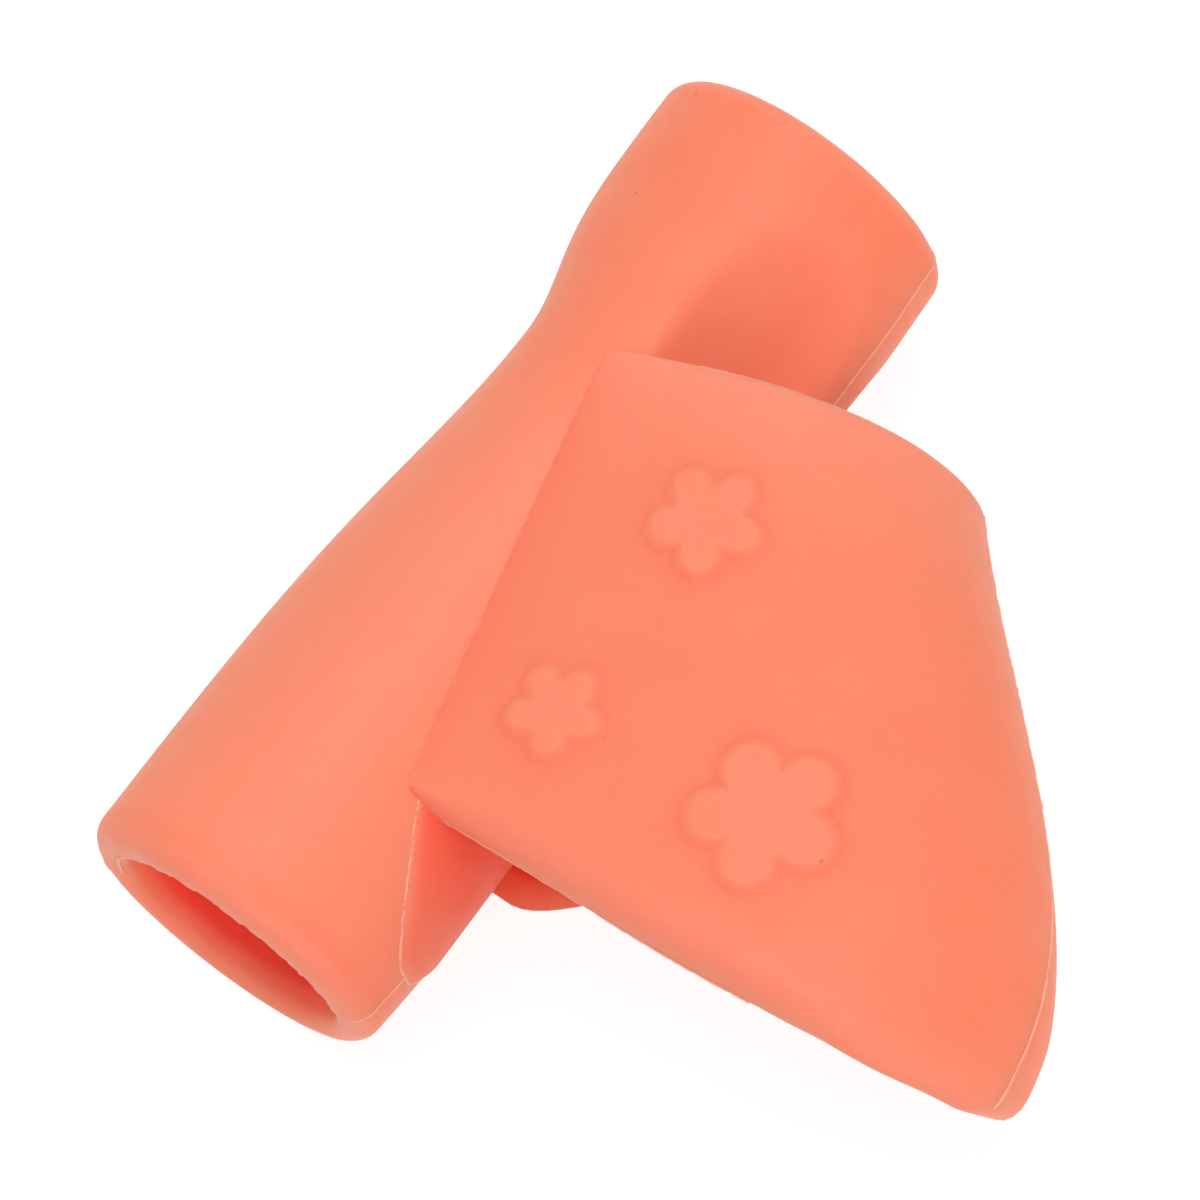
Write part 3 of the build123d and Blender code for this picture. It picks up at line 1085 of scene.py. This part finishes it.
def mouth_lines(barrel):
    """The ragged edge over the upper half of the rear mouth."""
    turns = np.radians(np.linspace(-MOUTH_LINE_TURN, MOUTH_LINE_TURN, MOUTH_LINE_STEPS))
    radius = barrel.rear_mouth + MOUTH_LINE_OUT + 0.0 * turns
    return [list(barrel_point(radius, MOUTH_LINE_PLACE, turns))]


def fold_lines(pocket, barrel):
    """The line along the fold; it strays towards the flowered side and runs out over the rear lip."""
    rear, front = edge_places(pocket, lambda place: fold_reach(pocket, place), 1.0)
    places = np.linspace(rear - FOLD_OVERHANG, front - pocket.front_lip, FOLD_LINE_STEPS)
    stray = np.radians(FOLD_STRAY) * ease(backward(pocket, places), *FOLD_STRAY_RISE)
    crown = crown_x(pocket, places)
    fold = fold_reach(pocket, places)
    x = crown + (fold - crown) * np.cos(stray)
    points = wall_point(pocket, barrel, lambda place: x, 1.0, places)
    lip = np.clip((places - rear_edge(pocket, x, fold, 1.0)) / pocket.rear_lip, 0.0, 1.0)
    drop = SUNK + pocket.wall / 2 * (1.0 - np.sqrt(1.0 - (1.0 - lip) ** 2))
    points[:, 0] -= drop * np.cos(stray)
    points[:, 2] -= drop * np.sin(stray)
    return [list(points)]


def edge_lines(pocket, barrel):
    """Thin flash along the flowered wall's sharp edges: most of the rear one and part of the front one."""
    points = pocket_shell(pocket, barrel)[0]
    sides = [side for _, side in pocket_lines(pocket)]
    fold = sides.index(0.0)
    rear = [point for point in points[REAR_FLASH_FIRST:fold, 0] if point[0] < REAR_FLASH_END]
    lip = wall_loop(pocket, pocket.rear, pocket.front, 1.0, pocket.rear_lip)[0].argmax()
    front = points[FRONT_FLASH_FIRST:fold, lip]
    front = [point for point in front if FRONT_FLASH_START < point[0] < FRONT_FLASH_END]
    return [rear], [front]


# Material


def silicone_material(silicone, thin=False):
    """Matte coral silicone: cloudy colour, painted sheen and shade on lips and rims, painted shade in
    recesses and round the flowers, painted highlight on the flowers' tops, the barrel's rear and the walls'
    front, and a few specks. Thin flash is paler.
    """
    name = "thin_flash" if thin else "coral_silicone"
    made = bpy.data.materials.get(name)
    if made:
        return made
    material = bpy.data.materials.new(name)
    material.use_nodes = True
    bench = NodeBench(material.node_tree)
    where = bench.add("ShaderNodeTexCoord").outputs["Object"]

    def noise(scale, detail):
        node = bench.add("ShaderNodeTexNoise", {"Scale": scale, "Detail": detail, "Vector": where})
        return node.outputs["Fac"]

    def attribute(title):
        return bench.add("ShaderNodeAttribute", attribute_name=title).outputs["Fac"]

    def paint(title):
        return (*getattr(silicone, title), 1.0)

    clouds = bench.ranged(noise(scale=260.0, detail=3.0), 0.35, 0.65)
    cells = bench.add("ShaderNodeTexVoronoi", {"Scale": 300.0, "Vector": where})
    # Painted shade round the flowers and in recesses, painted highlight from the pale share, painted sheen
    # and shade on lips and rims, then real specks
    layers = (
        (bench.ranged(attribute("shade_ring"), 0.0, 1.0, to=(0.0, 0.13)), "painted_shade"),
        (attribute("pale"), "petal"),
        (attribute("painted_shade"), "painted_shade"),
        (bench.ranged(attribute("sheen_and_shade"), 0.0, 1.0, to=(0.0, 0.5)), "sheen_and_shade"),
        (bench.ranged(cells.outputs["Distance"], 0.018, 0.038, to=(0.32, 0.0)), "speck"),
    )
    shade = bench.mixed(clouds, paint("flash" if thin else "body"), paint("flash" if thin else "pale"))
    for share, title in layers:
        shade = bench.mixed(share, shade, paint(title))
    smoother = silicone.roughness - 0.05
    rougher = silicone.roughness + 0.06
    grain = {"Strength": 0.12, "Distance": 0.02 * MM, "Height": noise(scale=7000.0, detail=2.0)}
    values = {
        "Base Color": shade,
        "Roughness": bench.ranged(noise(scale=900.0, detail=2.0), 0.3, 0.7, to=(smoother, rougher)),
        "Normal": bench.add("ShaderNodeBump", grain).outputs["Normal"],
        "IOR": 1.41,
        "Subsurface Weight": 0.0 if thin else 1.0,
        "Subsurface Radius": (1.0, 0.2, 0.1),
        "Subsurface Scale": silicone.depth,
    }
    shader = material.node_tree.nodes["Principled BSDF"]
    for title, value in values.items():
        bench.feed(shader.inputs[title], value)
    return material


def dressed(piece, material, *nodes):
    """Gives a piece its material and slot, and hides the CAD nodes that it stands for."""
    piece.data.materials.clear()
    piece.data.materials.append(material)
    if nodes:
        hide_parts(*nodes)
    return piece


def bend(piece):
    """Bakes a piece's placement into its mesh."""
    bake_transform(piece)


# Stage

# The floor as the eye sees it: a grey that keeps the shadow, and a glow that makes it white
FLOOR_GREY = (0.2, 0.2, 0.2, 1.0)
FLOOR_GLOW = 0.89

# Light from all round: dim below the first height, bright above the second
SKY_LOW = 0.25
SKY_HIGH = 0.95
SKY_DIM = 0.5
SKY_BRIGHT = 0.8
WHITE = (1.0, 1.0, 1.0, 1.0)


def seen_ray(bench):
    """1 for rays that show a surface to the eye, straight, mirrored or through glass; 0 for light."""
    rays = bench.add("ShaderNodeLightPath").outputs
    share = rays["Is Camera Ray"]
    for name in ("Is Glossy Ray", "Is Transmission Ray"):
        share = bench.maths("MAXIMUM", share, rays[name])
    return share


def floor_material(stage):
    """A white floor that keeps the soft shadow of what stands on it."""
    material = bpy.data.materials.new("white_floor")
    material.use_nodes = True
    material.node_tree.nodes.clear()
    bench = NodeBench(material.node_tree)
    seen = seen_ray(bench)
    shade = bench.mixed(seen, (*stage.floor, 1.0), FLOOR_GREY)
    paper = bench.add("ShaderNodeBsdfDiffuse", {"Color": shade})
    glow = bench.add("ShaderNodeEmission", {"Strength": bench.maths("MULTIPLY", seen, FLOOR_GLOW)})
    both = bench.add("ShaderNodeAddShader", {0: paper.outputs[0], 1: glow.outputs[0]})
    bench.add("ShaderNodeOutputMaterial", {"Surface": both.outputs[0]})
    return material


def floor_piece(stage):
    """A square floor under the part."""
    half = stage.floor_size / 2
    low = CAD_BOX[0][2]
    mesh = bpy.data.meshes.new("floor")
    corners = [(-half, -half, low), (half, -half, low), (half, half, low), (-half, half, low)]
    mesh.from_pydata(corners, [], [(0, 1, 2, 3)])
    mesh.materials.append(floor_material(stage))
    floor = bpy.data.objects.new("floor", mesh)
    bpy.context.scene.collection.objects.link(floor)
    return floor


def lamp(name, place, target, size, power):
    """A soft square lamp that points at a target."""
    data = bpy.data.lights.new(name, "AREA")
    data.shape = "SQUARE"
    data.size = size
    data.energy = power
    light = bpy.data.objects.new(name, data)
    light.location = place
    light.rotation_euler = (Vector(target) - Vector(place)).to_track_quat("-Z", "Y").to_euler()
    bpy.context.scene.collection.objects.link(light)


def set_world():
    """White to the eye; as light, bright overhead and dim along the floor."""
    world = bpy.data.worlds.new("studio")
    bpy.context.scene.world = world
    world.use_nodes = True
    bench = NodeBench(world.node_tree)
    height = bench.split(bench.add("ShaderNodeTexCoord").outputs["Generated"])["Z"]
    light = bench.ranged(height, SKY_LOW, SKY_HIGH, to=(SKY_DIM, SKY_BRIGHT), smooth=True)
    backdrop = world.node_tree.nodes["Background"]
    bench.feed(backdrop.inputs["Color"], WHITE)
    bench.feed(backdrop.inputs["Strength"], bench.maths("MAXIMUM", seen_ray(bench), light))


def set_camera(stage):
    """A long lens at the picture's angle."""
    data = bpy.data.cameras.new("camera")
    data.sensor_width = 36.0
    data.lens = data.sensor_width * stage.distance / stage.field
    data.clip_start = 0.01
    data.clip_end = 10.0
    camera = bpy.data.objects.new("camera", data)
    flat = math.cos(stage.elevation)
    back = Vector(
        (math.sin(stage.azimuth) * flat, -math.cos(stage.azimuth) * flat, math.sin(stage.elevation))
    )
    right = Vector((math.cos(stage.azimuth), math.sin(stage.azimuth), 0.0))
    up = back.cross(right)
    turn = Matrix((right, up, back)).transposed() @ Matrix.Rotation(stage.roll, 3, "Z")
    camera.matrix_world = Matrix.Translation(Vector(stage.aim) + back * stage.distance) @ turn.to_4x4()
    bpy.context.scene.collection.objects.link(camera)
    bpy.context.scene.camera = camera


# Operators

# Edges sharper than this stay sharp in the shading
SHARP_ANGLE = math.radians(48.0)


class PENCIL_GRIP_OT_body(bpy.types.Operator):
    """Make the barrel and the finger pocket as one soft moulding with raised flowers"""

    bl_idname = "pencil_grip.body"
    bl_label = "Moulded body"

    def execute(self, context):
        scene = context.scene
        barrel = scene.grip_barrel
        pocket = scene.grip_pocket
        material = silicone_material(scene.grip_silicone)
        flowers = [flower_values(scene.grip_flower, *sizes, material) for sizes in FLOWERS]
        sleeve = pocket_piece(pocket, barrel)
        finer_ground(sleeve, flowers)
        plain = moulded(barrel_piece(barrel), sleeve, "plain_body")
        piece = made_by(flower_tree(), plain, "grip_body", *flowers)
        piece.data.shade_smooth()
        piece.data.set_sharp_from_angle(angle=SHARP_ANGLE)
        walls = ("front_wall", "back_wall", "front_living_hinge", "back_living_hinge")
        dressed(piece, material, "barrel", *walls, "flower_large", "flower_medium", "flower_small")
        bend(piece)
        return {"FINISHED"}


class PENCIL_GRIP_OT_flash(bpy.types.Operator):
    """Lay the thin lines that the mould leaves on barrel and fold"""

    bl_idname = "pencil_grip.flash"
    bl_label = "Parting lines"

    def execute(self, context):
        scene = context.scene
        barrel = scene.grip_barrel
        pocket = scene.grip_pocket
        flash = scene.grip_flash
        material = silicone_material(scene.grip_silicone, thin=True)
        tree = flash_tree()

        def bead(name, lines, radius, wander):
            values = {
                "Bead": radius,
                "Wander": wander,
                "Step": flash.step,
                "Taper": flash.taper,
                "Seed": flash.seed,
                "Silicone": material,
            }
            return dressed(made_by(tree, path_curve(lines), name, values), material)

        straight = flash.wander * LINE_WANDER
        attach(bead("barrel_parting_line", barrel_lines(barrel), flash.bead, straight), "barrel")
        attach(bead("rear_mouth_flash", mouth_lines(barrel), flash.mouth, flash.wander), "barrel")
        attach(bead("fold_parting_line", fold_lines(pocket, barrel), flash.bead, straight), "pocket")
        rear, front = edge_lines(pocket, barrel)
        for name, lines in (("rear_edge_flash", rear), ("front_edge_flash", front)):
            bend(bead(name, lines, flash.edge, flash.wander * EDGE_WANDER))
        return {"FINISHED"}


class PENCIL_GRIP_OT_stage(bpy.types.Operator):
    """Set the white floor, the soft lamps and the camera"""

    bl_idname = "pencil_grip.stage"
    bl_label = "Stage"

    def execute(self, context):
        stage = context.scene.grip_stage
        context.scene.view_settings.view_transform = "Standard"
        set_world()
        floor = floor_piece(stage)
        target = tuple(stage.aim)
        lamp("overhead", place=(0.0, 0.05, 0.42), target=target, size=0.3, power=0.72)
        lamp("low_fill", place=(0.42, -0.14, 0.12), target=target, size=0.2, power=0.34)
        set_camera(stage)
        return {"FINISHED"}


class PENCIL_GRIP_PT_panel(bpy.types.Panel):
    """Lists the steps that dress the grip"""

    bl_label = "Pencil grip"
    bl_idname = "PENCIL_GRIP_PT_panel"
    bl_space_type = "VIEW_3D"
    bl_region_type = "UI"
    bl_category = "Pencil grip"

    def draw(self, context):
        for step in STEPS:
            self.layout.operator(step.bl_idname)


SETTINGS = (
    ("grip_barrel", BarrelSettings),
    ("grip_pocket", PocketSettings),
    ("grip_flower", FlowerSettings),
    ("grip_flash", FlashSettings),
    ("grip_silicone", SiliconeSettings),
    ("grip_stage", StageSettings),
)
STEPS = (
    PENCIL_GRIP_OT_body,
    PENCIL_GRIP_OT_flash,
    PENCIL_GRIP_OT_stage,
)


def register():
    """Registers the settings, the steps and the panel."""
    for name, group in SETTINGS:
        bpy.utils.register_class(group)
        setattr(bpy.types.Scene, name, PointerProperty(type=group))
    for step in STEPS:
        bpy.utils.register_class(step)
    bpy.utils.register_class(PENCIL_GRIP_PT_panel)


def unregister():
    """Takes them out again."""
    bpy.utils.unregister_class(PENCIL_GRIP_PT_panel)
    for step in reversed(STEPS):
        bpy.utils.unregister_class(step)
    for name, group in reversed(SETTINGS):
        delattr(bpy.types.Scene, name)
        bpy.utils.unregister_class(group)


def main():
    """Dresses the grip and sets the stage."""
    register()
    bpy.ops.pencil_grip.body()
    bpy.ops.pencil_grip.flash()
    bpy.ops.pencil_grip.stage()


if __name__ == "__main__":
    main()
